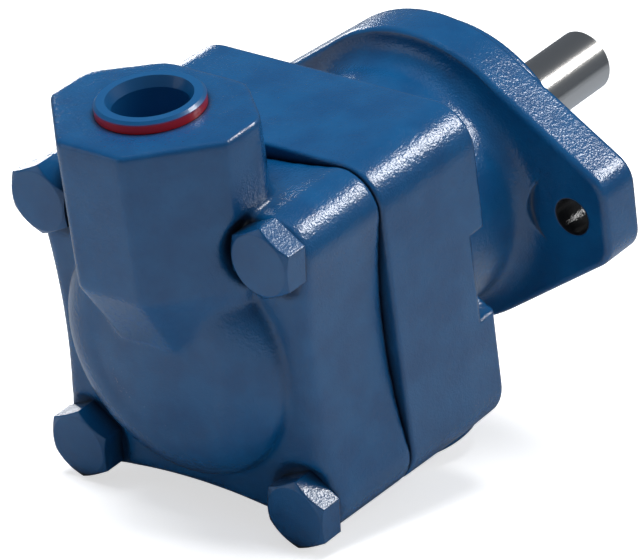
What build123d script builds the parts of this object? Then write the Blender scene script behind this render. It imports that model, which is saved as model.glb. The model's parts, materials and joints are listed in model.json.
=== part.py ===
from build123d import *
from math import atan2, cos, degrees, hypot, pi, radians, sin
import os

# Fixed-displacement hydraulic vane pump: a cast body with a two-bolt mounting flange, a square
# cover with a radial outlet port, and a cartridge of cam ring, rotor, vanes and pressure plate.
# Millimetres. The origin is on the shaft axis at the flange's mounting face, +Y points out along
# the shaft, +Z points out of the outlet port and the inlet port faces down.

# ---- mounting flange (two-bolt, 106.4 mm between holes) and pilot
flange_hole_spacing = 106.4
flange_hole_radius = 5.55
flange_thickness = 14.0
flange_crown_radius = 46.0
flange_end_reach = 65.0
flange_end_half_height = 16.0
flange_end_radius = 9.0
flange_edge_round = 2.0
pilot_radius = 41.275
pilot_length = 6.35

# ---- body block, neck and inlet boss
block_width = 100.0
block_length = 41.0
block_corner = 13.0
block_crown_from_joint = 27.0
block_back_fillet = 1.5
neck_radius = 37.0
neck_length = 33.4
neck_flare = 8.0
wrench_radius = 14.0
wrench_depth_in_block = 7.0
inlet_boss_radius = 28.0
inlet_boss_reach = 64.0
inlet_from_flange_front = 29.4
inlet_bore_radius = 15.6
inlet_spotface_radius = 23.5
inlet_spotface_depth = 0.6
seat_chamfer = 1.8
casting_draft = 1.2

# ---- cover
cover_width = 98.6
cover_thickness = 33.0
cover_corner = 12.0
cover_waist = 3.8
cover_edge_fillet = 4.0
cover_rear_round = 1.2
body_front_round = 1.0
dome_radius = 37.5
dome_height = 12.0
dome_wall = 3.0
boss_reach = 72.5
boss_shelf = 28.0
boss_root = 4.0
boss_half_width = 31.0
boss_front = 26.2
boss_front_flat = 11.0
boss_front_shoulder = 6.0
boss_rear = 23.4
boss_rear_flat = 14.0
boss_rear_shoulder = 9.0
boss_corner_round = 2.0
boss_rear_round = 9.0
boss_top_round = 1.0
outlet_from_cover_face = 2.7
outlet_bore_radius = 12.4

# ---- cover bolts
bolt_spacing = 78.0
bolt_radius = 6.35
bolt_head_flats = 19.05
bolt_head_height = 8.0
bolt_reach_in_body = 26.0
bolt_tip_gap = 4.0
bolt_hole_gap = 0.25
thread_gap = 0.05
spotface_radius = 12.6
spotface_depth = 1.5
head_chamfer = 0.5
head_turn = 24.0

# ---- cartridge
ring_radius = 38.0
ring_width = 24.0
cam_minor = 27.4
cam_major = 30.6
ring_gap = 0.1
rotor_radius = 27.0
rotor_side_gap = 0.05
vane_count = 12
vane_thickness = 1.95
vane_height = 12.0
vane_side_gap = 0.05
vane_tip_radius = 26.9
under_vane_radius = 1.6
spline_teeth = 10
spline_root = 8.6
spline_tip = 9.8
spline_tooth = 2.6
spline_gap = 0.05
pin_radius = 2.5
pin_circle = 31.5
pin_gap = 0.05
pin_depth_in_body = 5.5
pin_depth_in_plate = 8.0
kidney_circle = 24.2
kidney_half_width = 2.1
kidney_arc = 46.0

# ---- pressure plate, its spring and the seal rings
plate_radius = 37.4
plate_thickness = 12.0
plate_hub_radius = 11.0
plate_hub_height = 5.0
plate_bore_gap = 0.1
plate_rest_gap = 0.5
chamber_radius = 21.0
chamber_depth = 25.0
spring_discs = 6
spring_outer = 18.0
spring_inner = 12.0
disc_thickness = 1.5
spring_seat_gap = 0.1
disc_gap = 0.02
plate_oring_section = 1.35
plate_oring_groove = 3.4
cover_oring_radius = 42.4
cover_oring_section = 1.1
cover_oring_groove_width = 3.0
cover_oring_groove_depth = 2.3

# ---- suction gallery in the body
floor_thickness = 6.0
gallery_outer = 29.0
hub_radius = 17.5
gallery_length = 19.0

# ---- shaft, bush, seal and bearing
shaft_radius = 9.525
shaft_extension = 65.6
shaft_chamfer = 1.0
keyway_width = 4.76
keyway_depth = 2.6
keyway_length = 38.0
journal_radius = 10.0
bush_wall = 2.0
bush_length = 22.0
running_gap = 0.03
seal_journal_radius = 11.0
seal_outer_radius = 19.0
seal_width = 8.0
seal_lip_gap = 0.05
seal_case = 1.2
garter_wire = 0.7
shoulder_radius = 15.0
shoulder_width = 3.0
bearing_bore = 12.5
bearing_outer = 26.0
bearing_width = 15.0
bearing_depth = 9.4
race_wall = 3.8
ball_radius = 3.97
ball_count = 9
ball_gap = 0.08
cage_width = 9.6
cage_wall = 2.0
circlip_thickness = 1.75
circlip_gap = 0.1
housing_circlip_outer = 28.0
housing_circlip_inner = 24.6
housing_circlip_opening = 34.0
shaft_circlip_inner = 11.6
shaft_circlip_outer = 14.6
shaft_circlip_opening = 40.0
circlip_eye = 0.9
shaft_land = 3.5
mouth_radius = 26.4

# ---- transport plug in the outlet port
plug_flange_radius = 15.2
plug_flange_height = 3.4
plug_wall = 1.5
plug_depth = 11.0
plug_gap = 0.2
plug_mouth_flare = 1.3

# ---- stations along the shaft axis, worked out from the lengths above
flange_front = -flange_thickness
block_back = flange_front - neck_length
joint_face = block_back - block_length
cover_face = joint_face - cover_thickness
ring_floor = joint_face + ring_width
inlet_y = flange_front - inlet_from_flange_front
outlet_y = cover_face + outlet_from_cover_face
bearing_out = -bearing_depth
bearing_in = bearing_out - bearing_width
seal_out = bearing_in - shoulder_width
seal_in = seal_out - seal_width
gallery_front = ring_floor + floor_thickness
gallery_back = gallery_front + gallery_length
bush_front = ring_floor + 1.0
bush_radius = journal_radius + bush_wall
rotor_front = joint_face + rotor_side_gap
rotor_back = ring_floor - rotor_side_gap
plate_back = joint_face - plate_thickness
chamber_floor = joint_face - plate_thickness - plate_rest_gap - chamber_depth
bolt_seat = cover_face + spotface_depth
bolt_tip = joint_face + bolt_reach_in_body
spring_room = plate_back - chamber_floor - 2 * spring_seat_gap
disc_pitch = (spring_room + disc_gap) / spring_discs
disc_cone = disc_pitch - disc_gap - disc_thickness
pitch_radius = (bearing_bore + bearing_outer) / 2
ball_y = (bearing_in + bearing_out) / 2


def across(y):
    """Sketch plane across the shaft axis: local x is +X, local y is +Z, extrudes go to -Y."""
    return Plane(origin=(0, y, 0), x_dir=(1, 0, 0), z_dir=(0, -1, 0))


def level(y, z):
    """Sketch plane facing up, centred on a port axis."""
    return Plane(origin=(0, y, z), x_dir=(1, 0, 0), z_dir=(0, 0, 1))


def radial_profile(*points):
    """Closed outline of (radius, y) points, sketched for a turn about the shaft axis."""
    with BuildSketch(Plane.XY) as outline:
        with BuildLine():
            Polyline(*points, close=True)
        make_face()
    return outline.sketch


def save(piece, name):
    """Labels a finished piece and writes its STEP file."""
    piece.label = name
    export_step(piece, f"parts/{name}.step")


def cam_radius(angle):
    """Distance from the axis to the cam surface at an angle in radians from +X."""
    return cam_minor * cam_major / hypot(cam_major * cos(angle), cam_minor * sin(angle))


os.makedirs("parts", exist_ok=True)


# ---- body -------------------------------------------------------------------------------
def make_body():
    crown_y = joint_face + block_crown_from_joint
    with BuildPart() as body:
        # flange plate: a round crown run out to two blunt ends
        with BuildSketch(across(0)):
            Circle(flange_crown_radius)
            across_ends = 2 * (flange_end_reach - flange_end_radius)
            end_height = 2 * (flange_end_half_height - flange_end_radius)
            with GridLocations(across_ends, end_height, 2, 2):
                Circle(flange_end_radius)
            make_hull()
            with GridLocations(flange_hole_spacing, 0, 2, 1):
                Circle(flange_hole_radius, mode=Mode.SUBTRACT)
        extrude(amount=flange_thickness)
        fillet(body.faces().sort_by(Axis.Y)[0].outer_wire().edges(), flange_edge_round)
        # block, drafted both ways from its crown
        with BuildSketch(across(crown_y)):
            RectangleRounded(block_width, block_width, block_corner)
        extrude(amount=block_crown_from_joint, taper=casting_draft)
        with BuildSketch(across(crown_y)):
            RectangleRounded(block_width, block_width, block_corner)
        extrude(amount=-(block_length - block_crown_from_joint), taper=casting_draft)
        block_ends = body.faces().filter_by(Axis.Y).sort_by(Axis.Y)
        fillet(block_ends[1].outer_wire().edges(), block_back_fillet)
        fillet(body.faces().sort_by(Axis.Y)[0].outer_wire().edges(), body_front_round)
        # neck, flaring into the flange
        with BuildSketch(Plane.XY):
            with BuildLine():
                flare_start = (neck_radius, flange_front - neck_flare)
                flare_end = (neck_radius + neck_flare, flange_front)
                Polyline((0, crown_y), (neck_radius, crown_y), flare_start)
                RadiusArc(flare_start, flare_end, neck_flare)
                Polyline(flare_end, (0, flange_front), (0, crown_y))
            make_face()
        revolve(axis=Axis.Y)
        # inlet boss
        with BuildSketch(level(inlet_y, -inlet_boss_reach)):
            Circle(inlet_boss_radius)
        extrude(amount=inlet_boss_reach - hub_radius)
        # wrench room behind each mounting hole
        with BuildSketch(across(block_back - wrench_depth_in_block)):
            with GridLocations(flange_hole_spacing, 0, 2, 1):
                Circle(wrench_radius)
        extrude(amount=block_back - wrench_depth_in_block - flange_front, mode=Mode.SUBTRACT)
        # pilot
        with BuildSketch(across(pilot_length)):
            Circle(pilot_radius)
        extrude(amount=pilot_length)
        # cartridge bore, suction windows and gallery
        with BuildSketch(across(joint_face)):
            Circle(ring_radius + ring_gap)
        extrude(amount=-ring_width, mode=Mode.SUBTRACT)
        revolve(
            radial_profile(
                (hub_radius, gallery_front),
                (gallery_outer, gallery_front),
                (gallery_outer, gallery_back),
                (hub_radius, gallery_back),
            ),
            axis=Axis.Y,
            mode=Mode.SUBTRACT,
        )
        with BuildSketch(across(ring_floor)):
            for middle in (45, 225):
                SlotArc(
                    CenterArc((0, 0), kidney_circle, middle - kidney_arc / 2, kidney_arc),
                    2 * kidney_half_width,
                )
        extrude(amount=-floor_thickness, mode=Mode.SUBTRACT)
        # bores on the shaft axis: bush, shaft passage, seal, bearing, circlip groove, mouth
        revolve(
            radial_profile(
                (0, ring_floor - 1.0),
                (bush_radius, ring_floor - 1.0),
                (bush_radius, bush_front + bush_length),
                (seal_journal_radius + 0.5, bush_front + bush_length),
                (seal_journal_radius + 0.5, seal_in),
                (seal_outer_radius, seal_in),
                (seal_outer_radius, bearing_in),
                (bearing_outer, bearing_in),
                (bearing_outer, bearing_out),
                (housing_circlip_outer, bearing_out),
                (housing_circlip_outer, bearing_out + circlip_thickness + circlip_gap),
                (mouth_radius, bearing_out + circlip_thickness + circlip_gap),
                (mouth_radius, pilot_length + 1),
                (0, pilot_length + 1),
            ),
            axis=Axis.Y,
            mode=Mode.SUBTRACT,
        )
        # inlet port: spotface, seal seat and bore up into the gallery
        with BuildSketch(level(inlet_y, -inlet_boss_reach)):
            Circle(inlet_spotface_radius)
        extrude(amount=inlet_spotface_depth, mode=Mode.SUBTRACT)
        with BuildSketch(level(inlet_y, -inlet_boss_reach)):
            Circle(inlet_bore_radius)
        extrude(amount=inlet_boss_reach - hub_radius - 2, mode=Mode.SUBTRACT)
        # face groove for the cover seal, threaded holes, locating pin holes
        with BuildSketch(across(joint_face)):
            Circle(cover_oring_radius + cover_oring_groove_width / 2)
            Circle(cover_oring_radius - cover_oring_groove_width / 2, mode=Mode.SUBTRACT)
        extrude(amount=-cover_oring_groove_depth, mode=Mode.SUBTRACT)
        with BuildSketch(across(joint_face)):
            with GridLocations(bolt_spacing, bolt_spacing, 2, 2):
                Circle(bolt_radius + thread_gap)
        extrude(amount=-(bolt_reach_in_body + bolt_tip_gap), mode=Mode.SUBTRACT)
        with BuildSketch(across(ring_floor)):
            with PolarLocations(pin_circle, 2):
                Circle(pin_radius + pin_gap)
        extrude(amount=-pin_depth_in_body, mode=Mode.SUBTRACT)
    return body.part


# ---- cover ------------------------------------------------------------------------------
def cover_outline():
    """Square with rounded corners whose sides are waisted between the bolts."""
    half = cover_width / 2
    run = half - cover_corner
    with BuildSketch() as outline:
        with BuildLine():
            for turn in range(4):
                a, b = (-run, half), (run, half)
                side = ThreePointArc(a, (0, half - cover_waist), b).rotate(Axis.Z, -90 * turn)
                start = Vector(run, half).rotate(Axis.Z, -90 * turn)
                end = Vector(half, run).rotate(Axis.Z, -90 * turn)
                add(side)
                RadiusArc(start, end, cover_corner)
        make_face()
    return outline.sketch


def boss_outline(scale, front):
    """Outlet boss across its port axis: an eight-sided outline with softened corners."""
    side = scale * boss_half_width
    front_flat = scale * boss_front_flat
    rear_flat = scale * boss_rear_flat
    with BuildSketch() as outline:
        with BuildLine():
            Polyline(
                (-side, -boss_front_shoulder),
                (-front_flat, -front),
                (front_flat, -front),
                (side, -boss_front_shoulder),
                (side, boss_rear_shoulder),
                (rear_flat, boss_rear),
                (-rear_flat, boss_rear),
                (-side, boss_rear_shoulder),
                close=True,
            )
        make_face()
        corners = outline.vertices().group_by(Axis.Y)
        fillet(corners[-1] + corners[-2], boss_rear_round)
        corners = outline.vertices().group_by(Axis.Y)
        fillet(corners[0] + corners[1], boss_corner_round)
    return outline.sketch


def make_cover():
    with BuildPart() as cover:
        with BuildSketch(across(joint_face)):
            add(cover_outline())
        extrude(amount=cover_thickness, taper=casting_draft)
        fillet(cover.faces().sort_by(Axis.Y)[0].edges(), cover_edge_fillet)
        fillet(cover.faces().sort_by(Axis.Y)[-1].edges(), cover_rear_round)
        # dome over the pressure chamber
        with BuildSketch(Plane.XY):
            with BuildLine():
                rim = (dome_radius, cover_face - dome_wall)
                shoulder = (0.56 * dome_radius, cover_face - 0.88 * dome_height)
                crown = (0, cover_face - dome_height)
                Polyline(crown, (0, joint_face - 4), (dome_radius, joint_face - 4), rim)
                ThreePointArc(rim, (0.88 * dome_radius, cover_face - 0.63 * dome_height), shoulder)
                ThreePointArc(shoulder, (0.28 * dome_radius, cover_face - 0.97 * dome_height), crown)
            make_face()
        revolve(axis=Axis.Y)
        # outlet boss: a prism above the shelf, sloping back into the dome below it
        with BuildSketch(level(outlet_y, boss_shelf)):
            add(boss_outline(1, boss_front))
        extrude(amount=boss_reach - boss_shelf)
        fillet(cover.faces().sort_by(Axis.Z)[-1].edges(), boss_top_round)
        with BuildSketch(level(outlet_y, boss_root)):
            add(boss_outline(0.8, boss_front / 2))
        with BuildSketch(level(outlet_y, boss_shelf)):
            add(boss_outline(1, boss_front))
        loft(ruled=True)
        # pressure plate bore and pressure chamber
        with BuildSketch(across(joint_face)):
            Circle(plate_radius + plate_bore_gap)
        extrude(amount=plate_thickness + plate_rest_gap, mode=Mode.SUBTRACT)
        with BuildSketch(across(plate_back - plate_rest_gap)):
            Circle(chamber_radius)
        extrude(amount=chamber_depth, mode=Mode.SUBTRACT)
        # outlet port down into the chamber
        with BuildSketch(level(outlet_y, boss_reach)):
            Circle(outlet_bore_radius)
        extrude(amount=-(boss_reach - chamber_radius + 6), mode=Mode.SUBTRACT)
        chamfer(
            cover.edges().filter_by(GeomType.CIRCLE).sort_by(Axis.Z)[-1], seat_chamfer
        )
        # bolt holes with spotfaces that break out through the corners
        with BuildSketch(across(bolt_seat)):
            with GridLocations(bolt_spacing, bolt_spacing, 2, 2):
                Circle(spotface_radius)
        extrude(amount=spotface_depth + boss_front, mode=Mode.SUBTRACT)
        with BuildSketch(across(joint_face)):
            with GridLocations(bolt_spacing, bolt_spacing, 2, 2):
                Circle(bolt_radius + bolt_hole_gap)
        extrude(amount=cover_thickness, mode=Mode.SUBTRACT)
    return cover.part


def make_cover_bolts():
    with BuildPart() as bolts:
        with BuildSketch(across(bolt_seat)):
            with GridLocations(bolt_spacing, bolt_spacing, 2, 2):
                RegularPolygon(bolt_head_flats / 2, 6, major_radius=False, rotation=head_turn)
        extrude(amount=bolt_head_height)
        with BuildSketch(across(bolt_seat - bolt_head_height)):
            with GridLocations(bolt_spacing, bolt_spacing, 2, 2):
                Circle(bolt_head_flats / 2 - head_chamfer)
        extrude(amount=-bolt_head_height, taper=-60, mode=Mode.INTERSECT)
        with BuildSketch(across(bolt_tip)):
            with GridLocations(bolt_spacing, bolt_spacing, 2, 2):
                Circle(bolt_radius)
        extrude(amount=bolt_tip - bolt_seat)
    return bolts.part


# ---- cartridge --------------------------------------------------------------------------
def make_cam_ring():
    with BuildPart() as ring:
        with BuildSketch(across(ring_floor)):
            Circle(ring_radius)
            Ellipse(cam_minor, cam_major, mode=Mode.SUBTRACT)
            with PolarLocations(pin_circle, 2):
                Circle(pin_radius + pin_gap, mode=Mode.SUBTRACT)
        extrude(amount=ring_width)
    return ring.part


def spline_sketch(gap):
    """Straight-sided spline outline, grown all round by gap."""
    tooth_foot = spline_root - 3.0
    with BuildSketch() as spline:
        Circle(spline_root + gap)
        with PolarLocations((tooth_foot + spline_tip + gap) / 2, spline_teeth):
            Rectangle(spline_tip + gap - tooth_foot, spline_tooth + 2 * gap)
    return spline.sketch


def make_rotor():
    slot_floor = vane_tip_radius - vane_height - 0.3
    with BuildPart() as rotor:
        with BuildSketch(across(rotor_back)):
            Circle(rotor_radius)
            add(spline_sketch(spline_gap), mode=Mode.SUBTRACT)
            with PolarLocations(slot_floor, vane_count, start_angle=180 / vane_count):
                Circle(under_vane_radius, mode=Mode.SUBTRACT)
            slot_length = rotor_radius + 1 - slot_floor
            middle = slot_floor + slot_length / 2
            with PolarLocations(middle, vane_count, start_angle=180 / vane_count):
                slot_width = vane_thickness + 2 * vane_side_gap
                Rectangle(slot_length, slot_width, mode=Mode.SUBTRACT)
        extrude(amount=rotor_back - rotor_front)
    return rotor.part


def vane_angle(number):
    """Angle of a vane from +X towards +Z, in degrees."""
    return (number + 0.5) * 360 / vane_count


def make_vane(number):
    with BuildPart() as vane:
        with BuildSketch(across(rotor_back)):
            with PolarLocations(vane_tip_radius - vane_height / 2, 1, start_angle=vane_angle(number)):
                Rectangle(vane_height, vane_thickness)
        extrude(amount=rotor_back - rotor_front)
    return vane.part


def make_pressure_plate():
    groove_inner = plate_radius - 2 * plate_oring_section
    groove_middle = joint_face - plate_thickness / 2
    with BuildPart() as plate:
        with BuildSketch(across(joint_face)):
            Circle(plate_radius)
        extrude(amount=plate_thickness)
        with BuildSketch(across(plate_back)):
            Circle(plate_hub_radius)
        extrude(amount=plate_hub_height)
        with BuildSketch(across(joint_face)):
            for middle in (135, 315):
                SlotArc(
                    CenterArc((0, 0), kidney_circle, middle - kidney_arc / 2, kidney_arc),
                    2 * kidney_half_width,
                )
        extrude(amount=plate_thickness, mode=Mode.SUBTRACT)
        with BuildSketch(across(joint_face)):
            with PolarLocations(pin_circle, 2):
                Circle(pin_radius + pin_gap)
        extrude(amount=pin_depth_in_plate + 1, mode=Mode.SUBTRACT)
        revolve(
            radial_profile(
                (groove_inner, groove_middle - plate_oring_groove / 2),
                (plate_radius + 1, groove_middle - plate_oring_groove / 2),
                (plate_radius + 1, groove_middle + plate_oring_groove / 2),
                (groove_inner, groove_middle + plate_oring_groove / 2),
            ),
            axis=Axis.Y,
            mode=Mode.SUBTRACT,
        )
    return plate.part


def make_locating_pins():
    tip = ring_floor + pin_depth_in_body
    with BuildPart() as pins:
        with BuildSketch(across(tip)):
            with PolarLocations(pin_circle, 2):
                Circle(pin_radius)
        extrude(amount=tip - joint_face + pin_depth_in_plate)
        ends = pins.faces().filter_by(Axis.Y)
        chamfer(ends.edges(), 0.5)
    return pins.part


def make_seal_ring(radius, y, section):
    """O-ring on the shaft axis."""
    with BuildPart() as ring:
        with BuildSketch(Plane.XY):
            with Locations((radius, y)):
                Circle(section)
        revolve(axis=Axis.Y)
    return ring.part


def make_pressure_spring():
    """Coned disc springs, stacked in alternate directions between the chamber and the plate."""
    with BuildPart() as stack:
        for number in range(spring_discs):
            low = chamber_floor + spring_seat_gap + number * disc_pitch
            wide_end, narrow_end = (low, low + disc_cone)
            if number % 2:
                wide_end, narrow_end = (low + disc_cone, low)
            revolve(
                radial_profile(
                    (spring_outer, wide_end),
                    (spring_outer, wide_end + disc_thickness),
                    (spring_inner, narrow_end + disc_thickness),
                    (spring_inner, narrow_end),
                ),
                axis=Axis.Y,
            )
    return stack.part


# ---- shaft and its bearings -------------------------------------------------------------
def make_shaft():
    spline_end = joint_face + 1.5
    land_end = bearing_out + shaft_land
    groove_start = bearing_out
    groove_end = bearing_out + circlip_thickness + circlip_gap
    with BuildPart() as shaft:
        with BuildSketch(across(ring_floor)):
            add(spline_sketch(0))
        extrude(amount=ring_floor - spline_end)
        revolve(
            radial_profile(
                (0, ring_floor),
                (journal_radius, ring_floor),
                (journal_radius, seal_in - 1.0),
                (seal_journal_radius, seal_in - 1.0),
                (seal_journal_radius, seal_out),
                (shoulder_radius, seal_out),
                (shoulder_radius, bearing_in),
                (bearing_bore, bearing_in),
                (bearing_bore, groove_start),
                (shaft_circlip_inner, groove_start),
                (shaft_circlip_inner, groove_end),
                (bearing_bore, groove_end),
                (bearing_bore, land_end - shaft_chamfer),
                (bearing_bore - shaft_chamfer, land_end),
                (shaft_radius, land_end),
                (shaft_radius, shaft_extension - shaft_chamfer),
                (shaft_radius - shaft_chamfer, shaft_extension),
                (0, shaft_extension),
            ),
            axis=Axis.Y,
        )
        # keyway on the underside, open at the shaft's end
        with BuildSketch(level(0, -shaft_radius + keyway_depth)):
            with Locations((0, shaft_extension - keyway_length / 2 + 3)):
                SlotOverall(keyway_length + 6, keyway_width, rotation=90)
        extrude(amount=-keyway_depth - 1, mode=Mode.SUBTRACT)
    return shaft.part


def make_bush():
    with BuildPart() as bush:
        with BuildSketch(across(bush_front)):
            Circle(bush_radius)
            Circle(journal_radius + running_gap, mode=Mode.SUBTRACT)
        extrude(amount=-bush_length)
    return bush.part


def make_shaft_seal():
    lip = seal_journal_radius + seal_lip_gap
    step = seal_case
    with BuildPart() as seal:
        revolve(
            radial_profile(
                (seal_outer_radius, seal_in),
                (seal_outer_radius, seal_out),
                (lip + 1.2, seal_out),
                (lip + 1.2, seal_out - step),
                (lip + 2.6, seal_out - 2 * step),
                (lip + 0.9, seal_in + 2.6 * step),
                (lip, seal_in + 1.8 * step),
                (lip + 1.0, seal_in + 0.6 * step),
                (lip + 3.4, seal_in + 0.8 * step),
                (lip + 4.2, seal_out - 2 * step),
                (seal_outer_radius - step, seal_out - step),
                (seal_outer_radius - step, seal_in),
            ),
            axis=Axis.Y,
        )
    return seal.part


def make_race(inner, outer):
    """Bearing race between two radii, with the ball groove cut round it."""
    with BuildPart() as race:
        with BuildSketch(across(bearing_out)):
            Circle(outer)
            Circle(inner, mode=Mode.SUBTRACT)
        extrude(amount=bearing_width)
        with BuildSketch(Plane.XY):
            with Locations((pitch_radius, ball_y)):
                Circle(ball_radius + ball_gap)
        revolve(axis=Axis.Y, mode=Mode.SUBTRACT)
    return race.part


def ball_places():
    """Locations of the ball centres round the pitch circle."""
    places = []
    for number in range(ball_count):
        angle = 2 * pi * number / ball_count
        places.append(Location((pitch_radius * cos(angle), ball_y, pitch_radius * sin(angle))))
    return places


def make_balls():
    with BuildPart() as balls:
        with Locations(ball_places()):
            Sphere(ball_radius)
    return balls.part


def make_cage():
    with BuildPart() as cage:
        with BuildSketch(across(ball_y + cage_width / 2)):
            Circle(pitch_radius + cage_wall / 2)
            Circle(pitch_radius - cage_wall / 2, mode=Mode.SUBTRACT)
        extrude(amount=cage_width)
        for number in range(ball_count):
            angle = 2 * pi * number / ball_count
            with BuildSketch(Plane(origin=(0, ball_y, 0), z_dir=(cos(angle), 0, sin(angle)))):
                Circle(ball_radius + ball_gap)
            extrude(amount=pitch_radius + cage_wall, mode=Mode.SUBTRACT)
    return cage.part


def make_circlip(inner, outer, opening, eye_side, middle_angle):
    """Split retaining ring beside the bearing, with two eyes at its opening."""
    middle = (inner + outer) / 2
    eye_radius = 2 * circlip_eye
    eye_circle = middle + eye_side * (outer - inner) / 2
    with BuildPart() as clip:
        with BuildSketch(across(bearing_out + circlip_thickness)):
            sweep_angle = 360 - opening
            SlotArc(
                CenterArc((0, 0), middle, middle_angle + opening / 2, sweep_angle),
                outer - inner,
            )
            for side in (-1, 1):
                angle = radians(middle_angle + side * (opening / 2 - 2))
                spot = (eye_circle * cos(angle), eye_circle * sin(angle))
                with Locations(spot):
                    Circle(eye_radius)
                    Circle(circlip_eye, mode=Mode.SUBTRACT)
        extrude(amount=circlip_thickness)
    return clip.part


# ---- outlet plug ------------------------------------------------------------------------
def make_outlet_plug():
    """Hollow plastic cap plug pushed into the outlet port, its flange on the boss."""
    tube = outlet_bore_radius - plug_gap
    inside = tube - plug_wall
    top = boss_reach + plug_flange_height
    with BuildPart() as plug:
        with BuildSketch(Plane(origin=(0, outlet_y, 0), x_dir=(1, 0, 0), z_dir=(0, -1, 0))):
            with BuildLine():
                Polyline(
                    (0, boss_reach - plug_depth),
                    (tube - 1.0, boss_reach - plug_depth),
                    (tube, boss_reach - plug_depth + 3),
                    (tube, boss_reach),
                    (plug_flange_radius, boss_reach),
                    (plug_flange_radius, top - 0.8),
                    (plug_flange_radius - 0.8, top),
                    (inside + plug_mouth_flare, top),
                    (inside, top - 3),
                    (inside - 0.4, boss_reach - plug_depth + plug_wall),
                    (0, boss_reach - plug_depth + plug_wall),
                    close=True,
                )
            make_face()
        revolve(axis=Axis((0, outlet_y, 0), (0, 0, 1)))
    return plug.part


# ---- build and write every piece --------------------------------------------------------
save(make_body(), "body")
save(make_cover(), "cover")
save(make_cover_bolts(), "cover_bolts")
save(make_cam_ring(), "cam_ring")
save(make_rotor(), "rotor")
for number in range(vane_count):
    save(make_vane(number), f"vane_{number + 1:02d}")
save(make_pressure_plate(), "pressure_plate")
save(make_locating_pins(), "locating_pins")
save(make_pressure_spring(), "pressure_spring")
groove_depth_middle = joint_face + cover_oring_groove_depth / 2
save(make_seal_ring(cover_oring_radius, groove_depth_middle, cover_oring_section), "cover_oring")
plate_groove_y = joint_face - plate_thickness / 2
plate_oring_radius = plate_radius - plate_oring_section
save(make_seal_ring(plate_oring_radius, plate_groove_y, plate_oring_section), "plate_oring")
save(make_shaft(), "drive_shaft")
save(make_bush(), "shaft_bush")
save(make_shaft_seal(), "shaft_seal")
garter_radius = seal_journal_radius + seal_lip_gap + 4.2 + garter_wire + 0.5
save(make_seal_ring(garter_radius, seal_in + 2.6, garter_wire), "seal_garter_spring")
save(make_race(bearing_outer - race_wall, bearing_outer), "bearing_outer_race")
save(make_race(bearing_bore, bearing_bore + race_wall), "bearing_inner_race")
save(make_balls(), "bearing_balls")
save(make_cage(), "bearing_cage")
housing_clip = (housing_circlip_inner, housing_circlip_outer, housing_circlip_opening)
save(make_circlip(*housing_clip, -1, 90), "housing_circlip")
shaft_clip = (shaft_circlip_inner, shaft_circlip_outer, shaft_circlip_opening)
save(make_circlip(*shaft_clip, 1, 90), "shaft_circlip")
save(make_outlet_plug(), "outlet_plug")

for number in range(vane_count):
    angle = radians(vane_angle(number))
    print(f"vane_{number + 1:02d}", round(cam_radius(angle) - vane_tip_radius, 3), "mm to the cam")
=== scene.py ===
# %% [markdown]
# Hydraulic vane pump in blue enamel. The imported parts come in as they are; this script gives them
# their finishes, adds the thread of the inlet port, and sets the floor, the lights and the
# camera. Units are metres, +Y points out along the shaft and +Z points out of the outlet port.

# %% Load the frame
import bpy
import bmesh
import json
import math
from mathutils import Matrix, Vector


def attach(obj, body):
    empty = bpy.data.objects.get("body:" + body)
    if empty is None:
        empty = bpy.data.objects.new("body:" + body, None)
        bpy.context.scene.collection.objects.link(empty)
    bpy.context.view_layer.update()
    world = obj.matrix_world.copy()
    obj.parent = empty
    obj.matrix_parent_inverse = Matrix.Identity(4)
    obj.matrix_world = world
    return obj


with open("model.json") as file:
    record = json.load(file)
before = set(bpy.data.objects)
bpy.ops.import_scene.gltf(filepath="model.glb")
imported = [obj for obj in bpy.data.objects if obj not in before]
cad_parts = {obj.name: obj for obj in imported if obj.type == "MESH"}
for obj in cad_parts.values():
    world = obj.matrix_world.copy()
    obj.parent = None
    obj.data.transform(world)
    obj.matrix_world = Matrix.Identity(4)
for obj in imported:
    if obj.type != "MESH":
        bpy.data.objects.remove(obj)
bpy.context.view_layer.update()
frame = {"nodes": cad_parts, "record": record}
nodes = frame["nodes"]
print("nodes in the frame:", len(nodes))

# %% [markdown]
# Every finish is a Principled shader whose patterns are read from Object coordinates, so they
# stay on their piece when it moves. The helpers keep the node graphs short; most give back the
# output to link on.

# %% Shader helpers
def feed(tree, socket, value):
    """Links an output to a socket, or sets the socket to a number or to a colour."""
    if isinstance(value, bpy.types.NodeSocket):
        tree.links.new(value, socket)
    elif isinstance(value, tuple):
        socket.default_value = (*value, 1)
    else:
        socket.default_value = value


def new_material(name, color, roughness, metallic=0.0):
    mat = bpy.data.materials.new(name)
    mat.use_nodes = True
    shader = mat.node_tree.nodes["Principled BSDF"]
    shader.inputs["Base Color"].default_value = (*color, 1)
    shader.inputs["Roughness"].default_value = roughness
    shader.inputs["Metallic"].default_value = metallic
    return mat, mat.node_tree, shader


def noise(tree, scale, detail=2.0, stretch=(1, 1, 1)):
    coords = tree.nodes.new("ShaderNodeTexCoord")
    mapping = tree.nodes.new("ShaderNodeMapping")
    mapping.inputs["Scale"].default_value = stretch
    texture = tree.nodes.new("ShaderNodeTexNoise")
    texture.inputs["Scale"].default_value = scale
    texture.inputs["Detail"].default_value = detail
    tree.links.new(coords.outputs["Object"], mapping.inputs["Vector"])
    tree.links.new(mapping.outputs["Vector"], texture.inputs["Vector"])
    return texture.outputs["Fac"]


def bump(tree, height, distance, strength, under=None):
    node = tree.nodes.new("ShaderNodeBump")
    node.inputs["Strength"].default_value = strength
    node.inputs["Distance"].default_value = distance
    tree.links.new(height, node.inputs["Height"])
    if under is not None:
        tree.links.new(under, node.inputs["Normal"])
    return node.outputs["Normal"]


def ramp(tree, value, stops):
    """A colour ramp of two stops, each a place and a colour."""
    node = tree.nodes.new("ShaderNodeValToRGB")
    for element, (place, color) in zip(node.color_ramp.elements, stops):
        element.position = place
        element.color = (*color, 1)
    tree.links.new(value, node.inputs["Fac"])
    return node.outputs["Color"]


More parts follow.
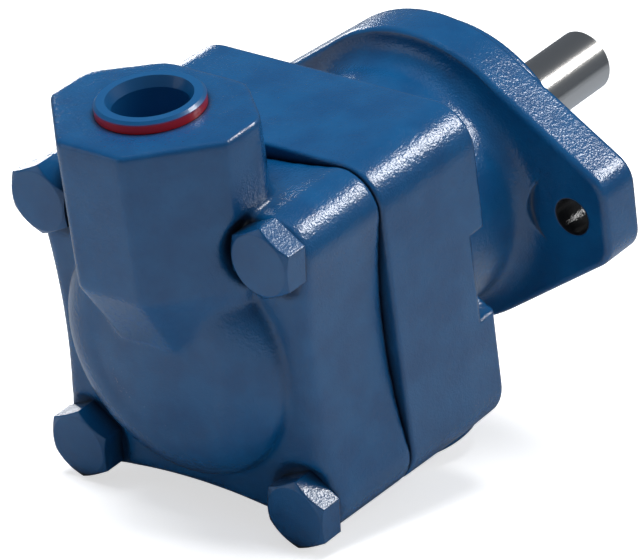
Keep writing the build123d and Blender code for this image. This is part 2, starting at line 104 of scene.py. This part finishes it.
def fade(tree, value, low, high, at_low=0.0, at_high=1.0):
    node = tree.nodes.new("ShaderNodeMapRange")
    node.inputs["From Min"].default_value = low
    node.inputs["From Max"].default_value = high
    node.inputs["To Min"].default_value = at_low
    node.inputs["To Max"].default_value = at_high
    tree.links.new(value, node.inputs["Value"])
    return node.outputs["Result"]


def mix_color(tree, factor, first, second):
    node = tree.nodes.new("ShaderNodeMix")
    node.data_type = "RGBA"
    for name, value in (("Factor", factor), ("A", first), ("B", second)):
        feed(tree, node.inputs[name], value)
    return node.outputs["Result"]


def math_node(tree, operation, first, second):
    node = tree.nodes.new("ShaderNodeMath")
    node.operation = operation
    for socket, value in zip(node.inputs, (first, second)):
        feed(tree, socket, value)
    return node.outputs["Value"]


def off_axis(tree, point, keep):
    """Distance from an axis through a point; keep drops the direction the axis runs in."""
    where = tree.nodes.new("ShaderNodeTexCoord")
    centre = tree.nodes.new("ShaderNodeMapping")
    centre.inputs["Location"].default_value = [-p * k for p, k in zip(point, keep)]
    centre.inputs["Scale"].default_value = keep
    length = tree.nodes.new("ShaderNodeVectorMath")
    length.operation = "LENGTH"
    tree.links.new(where.outputs["Object"], centre.inputs["Vector"])
    tree.links.new(centre.outputs["Vector"], length.inputs[0])
    return length.outputs["Value"]


def place_along(tree, axis):
    where = tree.nodes.new("ShaderNodeTexCoord")
    split = tree.nodes.new("ShaderNodeSeparateXYZ")
    tree.links.new(where.outputs["Object"], split.inputs["Vector"])
    return split.outputs[axis]


# %% [markdown]
# The blue enamel is thick, glossy and sprayed over a sand casting. Three heights make it: the
# slow waves of the casting, the grain of the sand under the paint, and the fine dimples of the
# sprayed coat. A bevel in the shader rounds the small edges. The crevices get painted shade:
# ambient occlusion darkens their colour towards near black and makes them duller.

# %% Blue enamel
paint_light = (0.0025, 0.072, 0.2)
paint_deep = (0.0018, 0.056, 0.165)
# Painted shade: the near-black colour that crevices are darkened towards.
crevice_shade_color = (0.0003, 0.006, 0.022)
gloss_roughness, dull_roughness = 0.27, 0.6
# Each height has a pattern scale, a pattern detail, a depth in metres and a strength.
relief = ((60, 1.0, 0.0008, 0.5), (700, 2.0, 0.0002, 0.6), (1700, 1.0, 0.00014, 0.7))
tint_scale, crevice_reach, shader_samples = 90, 0.006, 8


def make_enamel(name, grain, edge_radius):
    mat, tree, shader = new_material(name, paint_light, gloss_roughness)
    shader.inputs["Coat Weight"].default_value = 0.45
    shader.inputs["Coat Roughness"].default_value = 0.07
    edge = tree.nodes.new("ShaderNodeBevel")
    edge.samples = shader_samples
    edge.inputs["Radius"].default_value = edge_radius
    surface = edge.outputs["Normal"]
    for scale, detail, depth, strength in relief:
        surface = bump(tree, noise(tree, scale, detail), depth * grain, strength, surface)
    tree.links.new(surface, shader.inputs["Normal"])
    tree.links.new(surface, shader.inputs["Coat Normal"])

    tint = ramp(tree, noise(tree, tint_scale, 3.0), [(0.35, paint_deep), (0.65, paint_light)])
    crevice = tree.nodes.new("ShaderNodeAmbientOcclusion")
    crevice.samples = shader_samples
    crevice.inputs["Distance"].default_value = crevice_reach
    openness = crevice.outputs["AO"]
    # Painted shade: the colour is mixed towards near black where ambient occlusion finds a crevice.
    color = mix_color(tree, fade(tree, openness, 0.35, 0.8), crevice_shade_color, tint)
    tree.links.new(color, shader.inputs["Base Color"])
    roughness = fade(tree, openness, 0.3, 0.7, dull_roughness, gloss_roughness)
    tree.links.new(roughness, shader.inputs["Roughness"])
    return mat


enamel = make_enamel("blue_enamel", 1.0, 0.0012)
enamel_smooth = make_enamel("blue_enamel_smooth", 0.5, 0.0007)
enamel_body = make_enamel("blue_enamel_body", 1.0, 0.0016)
print("enamels:", enamel.name, enamel_smooth.name, enamel_body.name)

# %% [markdown]
# The walls of the two mounting holes get painted shade: a near-black colour and a higher
# roughness. The shade is kept to a thin layer round each hole's axis and to the flange's thickness.

# %% Painted shade in the mounting holes
hole_offset, hole_radius, flange_thickness = 0.0532, 0.00555, 0.014
# Painted shade: the near-black colour of the bore walls.
bore_shade_color = (0.004, 0.004, 0.005)
tree = enamel_body.node_tree
shader = tree.nodes["Principled BSDF"]
right_hole = off_axis(tree, (hole_offset, 0, 0), (1, 0, 1))
left_hole = off_axis(tree, (-hole_offset, 0, 0), (1, 0, 1))
nearest = math_node(tree, "MINIMUM", right_hole, left_hole)
in_bore = fade(tree, nearest, hole_radius + 0.0004, hole_radius + 0.0001)
along_hole = place_along(tree, "Y")
in_flange = fade(tree, along_hole, -flange_thickness - 0.0006, -flange_thickness - 0.0002)
in_hole = math_node(tree, "MULTIPLY", in_bore, in_flange)
color_before_bore_shade = shader.inputs["Base Color"].links[0].from_socket
roughness_before_bore_shade = shader.inputs["Roughness"].links[0].from_socket
# Painted shade: the bore walls of the two mounting holes are mixed to near black.
tree.links.new(mix_color(tree, in_hole, color_before_bore_shade, bore_shade_color), shader.inputs["Base Color"])
tree.links.new(math_node(tree, "MAXIMUM", in_hole, roughness_before_bore_shade), shader.inputs["Roughness"])
print("mounting holes darkened at x =", hole_offset, "and", -hole_offset)

# %% [markdown]
# The metals differ in colour, roughness and the direction of their machining marks. The marks are
# noise that is stretched along one axis.

# %% Metals
mark_scale, mark_depth, mark_strength = 900, 0.00001, 0.5


def make_metal(name, color, roughness, stretch):
    mat, tree, shader = new_material(name, color, roughness, 1.0)
    marks = noise(tree, mark_scale, 2.0, stretch)
    tree.links.new(bump(tree, marks, mark_depth, mark_strength), shader.inputs["Normal"])
    return mat


metals = {
    "shaft_steel": make_metal("shaft_steel", (0.66, 0.64, 0.61), 0.2, (0.05, 1, 0.05)),
    "hardened_steel": make_metal("hardened_steel", (0.52, 0.52, 0.52), 0.28, (1, 0.1, 1)),
    "machined_iron": make_metal("machined_iron", (0.34, 0.34, 0.35), 0.4, (1, 0.1, 1)),
    "bearing_steel": make_metal("bearing_steel", (0.74, 0.74, 0.75), 0.12, (0.1, 1, 0.1)),
    "spring_steel": make_metal("spring_steel", (0.2, 0.2, 0.22), 0.35, (1, 1, 1)),
    "bronze": make_metal("bronze", (0.62, 0.4, 0.17), 0.3, (0.1, 1, 0.1)),
}
print("metals:", ", ".join(metals))

# %% [markdown]
# The plug is red plastic that was sprayed together with the pump, in its port. Only the outer
# wall of its flange was missed; the rim and the inside are blue.

# %% Rubber and the red plug
rubber, tree, shader = new_material("seal_rubber", (0.012, 0.012, 0.012), 0.5)
tree.links.new(bump(tree, noise(tree, 700, 2.0), 0.00002, 0.4), shader.inputs["Normal"])

plug_y, plug_flange_radius, plug_rim_height = -0.1187, 0.0149, 0.0752
red = (0.5, 0.008, 0.012)
plastic, tree, shader = new_material("plug_plastic", red, 0.35)
shader.inputs["Coat Weight"].default_value = 0.3
from_axis = off_axis(tree, (0, plug_y, 0), (1, 1, 0))
outer_wall = fade(tree, from_axis, plug_flange_radius - 0.0003, plug_flange_radius)
below_rim = fade(tree, place_along(tree, "Z"), plug_rim_height, plug_rim_height - 0.0006)
unpainted = math_node(tree, "MULTIPLY", outer_wall, below_rim)
tree.links.new(ramp(tree, unpainted, [(0, paint_light), (1, red)]), shader.inputs["Base Color"])
print("other finishes:", rubber.name, plastic.name)

# %% Put each finish on its nodes
finish_of = {"enamel": enamel, "seal_rubber": rubber, "plug_plastic": plastic, **metals}
slot_of = {part["node"]: part["material_slot"] for part in frame["record"]["subparts"]}
for name, node in nodes.items():
    node.data.materials.clear()
    node.data.materials.append(finish_of[slot_of[name]])
nodes["cover_bolts"].data.materials[0] = enamel_smooth
nodes["body"].data.materials[0] = enamel_body
print("finishes used:", sorted(set(slot_of.values())))

# %% [markdown]
# The cover is a sand casting, so its edges and inside corners are soft. A fine voxel remesh
# followed by smoothing rounds them all; both are modifiers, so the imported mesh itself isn't
# changed.

# %% Soft edges on the cover
soft = nodes["cover"].modifiers.new("cast_surface", "REMESH")
soft.mode = "VOXEL"
soft.voxel_size = 0.0009
soft.use_smooth_shade = True
relax = nodes["cover"].modifiers.new("cast_edges", "SMOOTH")
relax.factor = 0.5
relax.iterations = 10
evaluated = nodes["cover"].evaluated_get(bpy.context.evaluated_depsgraph_get())
print("cover faces after softening:", len(evaluated.data.polygons))

# %% [markdown]
# The thread in the inlet port is too fine for the solids, so it is made here. The ridge's outline
# is swept round the port's axis and up it, and both ends are closed. Its root reaches a little
# into the wall, so no gap shows.

# %% Thread in the inlet port
port_y, port_face, bore_radius = -0.0434, -0.0634, 0.0156
pitch, thread_depth, thread_length = 0.00212, 0.0011, 0.019
root_in_wall, first_ridge, steps_per_turn = 0.0002, 0.003, 64

turns = int(thread_length / pitch)
ridge = [(0, 0), (thread_depth, 0.3 * pitch), (thread_depth, 0.4 * pitch), (0, 0.7 * pitch)]
root_radius, start = bore_radius + root_in_wall, port_face + first_ridge
bm = bmesh.new()
corners = [bm.verts.new((root_radius - depth, port_y, start + rise)) for depth, rise in ridge]
outline = [bm.edges.new(pair) for pair in zip(corners, corners[1:] + corners[:1])]
bmesh.ops.spin(
    bm, geom=corners + outline, cent=(0, port_y, 0), axis=(0, 0, 1),
    dvec=(0, 0, pitch / steps_per_turn), angle=2 * math.pi * turns,
    steps=steps_per_turn * turns, use_merge=False, use_duplicate=False,
)
bmesh.ops.holes_fill(bm, edges=bm.edges, sides=len(ridge))
bmesh.ops.recalc_face_normals(bm, faces=bm.faces)
thread_mesh = bpy.data.meshes.new("inlet_thread")
bm.to_mesh(thread_mesh)
bm.free()
thread_mesh.materials.append(metals["machined_iron"])
for face in thread_mesh.polygons:
    face.use_smooth = True
thread = bpy.data.objects.new("inlet_thread", thread_mesh)
bpy.context.scene.collection.objects.link(thread)
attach(thread, "housing")
print("inlet_thread:", turns, "turns,", len(thread_mesh.polygons), "faces")

# %% [markdown]
# The pump rests nose-down: the two lower screw heads and the edge of the inlet boss touch the
# floor. The frame stays level and the floor is tilted to that plane instead. The floor glows only
# for the camera, which keeps it white, and looks darker in reflections, which keeps the paint
# deep.

# %% Floor
rest_tilt = math.radians(14.0)
up = Vector((0, math.sin(rest_tilt), math.cos(rest_tilt)))
lowest = min(up.dot(v.co) for node in nodes.values() for v in node.data.vertices)
floor_color, floor_in_gloss, floor_glow = (0.93, 0.94, 0.95), (0.32, 0.35, 0.39), 0.62

bm = bmesh.new()
bmesh.ops.create_grid(bm, x_segments=1, y_segments=1, size=4)
bmesh.ops.rotate(bm, verts=bm.verts, matrix=Matrix.Rotation(-rest_tilt, 3, "X"))
bmesh.ops.translate(bm, verts=bm.verts, vec=up * lowest)
floor_mesh = bpy.data.meshes.new("floor")
bm.to_mesh(floor_mesh)
bm.free()
floor = bpy.data.objects.new("floor", floor_mesh)
bpy.context.scene.collection.objects.link(floor)

white, tree, shader = new_material("floor_white", floor_color, 0.6)
shader.inputs["Specular IOR Level"].default_value = 0.1
shader.inputs["Emission Color"].default_value = (1, 1, 1, 1)
ray = tree.nodes.new("ShaderNodeLightPath")
glow = math_node(tree, "MULTIPLY", ray.outputs["Is Camera Ray"], floor_glow)
tree.links.new(glow, shader.inputs["Emission Strength"])
seen = ramp(tree, ray.outputs["Is Glossy Ray"], [(0, floor_color), (1, floor_in_gloss)])
tree.links.new(seen, shader.inputs["Base Color"])
floor.data.materials.append(white)
print("floor touches at", round(lowest * 1000, 2), "mm along its normal")

# %% [markdown]
# The world is three skies: a faint blue one that lights the pump, a dim one in its reflections,
# and plain white for the camera.

# %% World
world = bpy.data.worlds.new("studio")
bpy.context.scene.world = world
world.use_nodes = True


def make_sky(node, color, strength):
    node.inputs["Color"].default_value = (*color, 1)
    node.inputs["Strength"].default_value = strength
    return node.outputs["Background"]


def choose(tree, is_ray, otherwise, for_ray):
    node = tree.nodes.new("ShaderNodeMixShader")
    for socket, output in zip(node.inputs, (is_ray, otherwise, for_ray)):
        tree.links.new(output, socket)
    return node.outputs["Shader"]


tree = world.node_tree
lighting = make_sky(tree.nodes["Background"], (0.85, 0.9, 1.0), 0.17)
reflected = make_sky(tree.nodes.new("ShaderNodeBackground"), (0.75, 0.85, 1.0), 0.16)
backdrop = make_sky(tree.nodes.new("ShaderNodeBackground"), (1, 1, 1), 1.0)
ray = tree.nodes.new("ShaderNodeLightPath")
unseen_sky = choose(tree, ray.outputs["Is Glossy Ray"], lighting, reflected)
sky = choose(tree, ray.outputs["Is Camera Ray"], unseen_sky, backdrop)
tree.links.new(sky, tree.nodes["World Output"].inputs["Surface"])
print("world:", world.name)

# %% [markdown]
# The two softboxes only light the paint, as their reflection would wash it out. The two edge
# lights do the opposite: they show only as the bright lines along the edges.

# %% Lights
pump_middle = Vector((0, -0.07, 0))


def area_light(name, place, size, power):
    data = bpy.data.lights.new(name, "AREA")
    data.shape = "RECTANGLE"
    data.size, data.size_y = size
    data.energy = power
    lamp = bpy.data.objects.new(name, data)
    lamp.location = place
    lamp.rotation_euler = (pump_middle - Vector(place)).to_track_quat("-Z", "Y").to_euler()
    bpy.context.scene.collection.objects.link(lamp)
    print(name, power, "W")
    return lamp


area_light("top_softbox", (-0.1, 0.15, 1.0), (0.9, 0.7), 16).visible_glossy = False
area_light("side_softbox", (0.9, 0.5, 0.5), (0.6, 0.6), 3).visible_glossy = False
area_light("edge_light", (0.6, 0.74, 0.74), (0.3, 0.42), 8.5).visible_diffuse = False
area_light("front_fill", (-0.7, -0.9, 0.4), (0.6, 0.6), 0.6)
area_light("rear_edge_light", (-0.95, 0.6, 0.02), (0.25, 0.25), 1.5).visible_diffuse = False

# %% Camera
cam_data = bpy.data.cameras.new("camera")
cam_data.sensor_width = 36
cam_data.lens = 275.8
camera = bpy.data.objects.new("camera", cam_data)
camera.location = (0.80923, -0.9444, 0.65823)
camera.rotation_euler = [math.radians(turn) for turn in (60.629, 6.766, 38.744)]
bpy.context.scene.collection.objects.link(camera)
bpy.context.scene.camera = camera
bpy.context.scene.view_settings.view_transform = "Standard"
print("camera at", tuple(round(c, 3) for c in camera.location))
